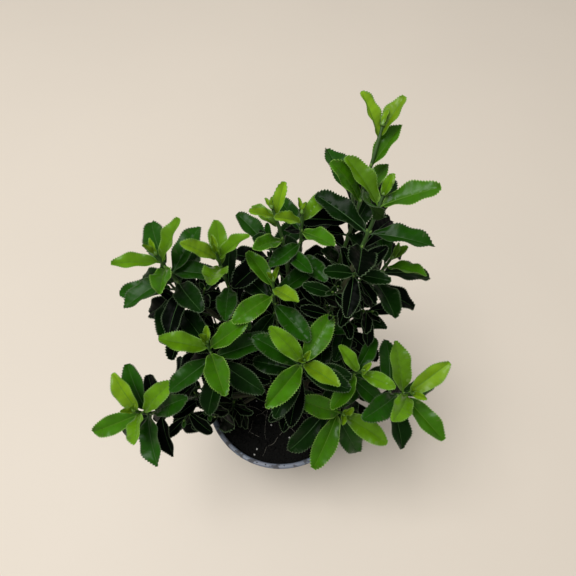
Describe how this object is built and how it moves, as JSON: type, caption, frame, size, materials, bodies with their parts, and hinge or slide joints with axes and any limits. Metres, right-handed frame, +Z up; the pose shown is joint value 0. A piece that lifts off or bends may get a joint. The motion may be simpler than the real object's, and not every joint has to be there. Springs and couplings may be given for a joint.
{
  "type": "potted evergreen spindle shrub",
  "caption": "Young bushy evergreen spindle with upright shoots of glossy oval leaves, standing in a round tapered plastic nursery pot.",
  "frame": {"origin": "centre of the flat underside of the pot", "axes": "+Z up along the pot's axis; +X to the right and -Y towards the viewer of the picture"},
  "size_m": [0.1657, 0.123, 0.2441],
  "materials": {
    "pot": "moulded grey-blue plastic, satin, dusty at the lip",
    "compost": "moist black peat compost with pale grit and fibres",
    "bark": "young green-brown bark with fine lengthwise ridges",
    "foliage": "leathery glossy leaves, dark green below and yellow-green at the tips"
  },
  "bodies": {
    "root": {"pot": "pot", "compost": "compost", "stem_left_front": "bark", "stem_left": "bark", "stem_back_left": "bark", "stem_back": "bark", "stem_back_right": "bark", "stem_right": "bark", "stem_front_right": "bark", "bough_spire": "bark", "bough_spire_side": "bark", "bough_back_right": "bark", "bough_right_upper": "bark", "bough_back_tip": "bark", "bough_back_fork": "bark", "bough_back_inner": "bark", "bough_middle_back": "bark", "bough_back_left_tip": "bark", "bough_back_left": "bark", "bough_middle_left": "bark", "bough_left_upper": "bark", "bough_left_inner": "bark", "bough_left_low": "bark", "bough_left_front": "bark", "bough_front_left_low": "bark", "bough_middle_front": "bark", "bough_right_front_tip": "bark", "bough_front_right": "bark", "bough_right_inner": "bark", "bough_right_middle": "bark", "bough_middle_right": "bark", "bough_right_front": "bark", "bough_middle_low": "bark", "foliage_spire": "foliage", "foliage_spire_side": "foliage", "foliage_back_right": "foliage", "foliage_right_upper": "foliage", "foliage_back_tip": "foliage", "foliage_back_fork": "foliage", "foliage_back_inner": "foliage", "foliage_middle_back": "foliage", "foliage_back_left_tip": "foliage", "foliage_back_left": "foliage", "foliage_middle_left": "foliage", "foliage_left_upper": "foliage", "foliage_left_inner": "foliage", "foliage_left_low": "foliage", "foliage_left_front": "foliage", "foliage_left_front_low": "foliage", "foliage_front_left_low": "foliage", "foliage_middle_front": "foliage", "foliage_right_front_tip": "foliage", "foliage_front_right": "foliage", "foliage_front_low": "foliage", "foliage_front_right_low": "foliage", "foliage_right_inner": "foliage", "foliage_right_middle": "foliage", "foliage_middle_right": "foliage", "foliage_right_front": "foliage", "foliage_middle_low": "foliage"}
  },
  "joints": []
}
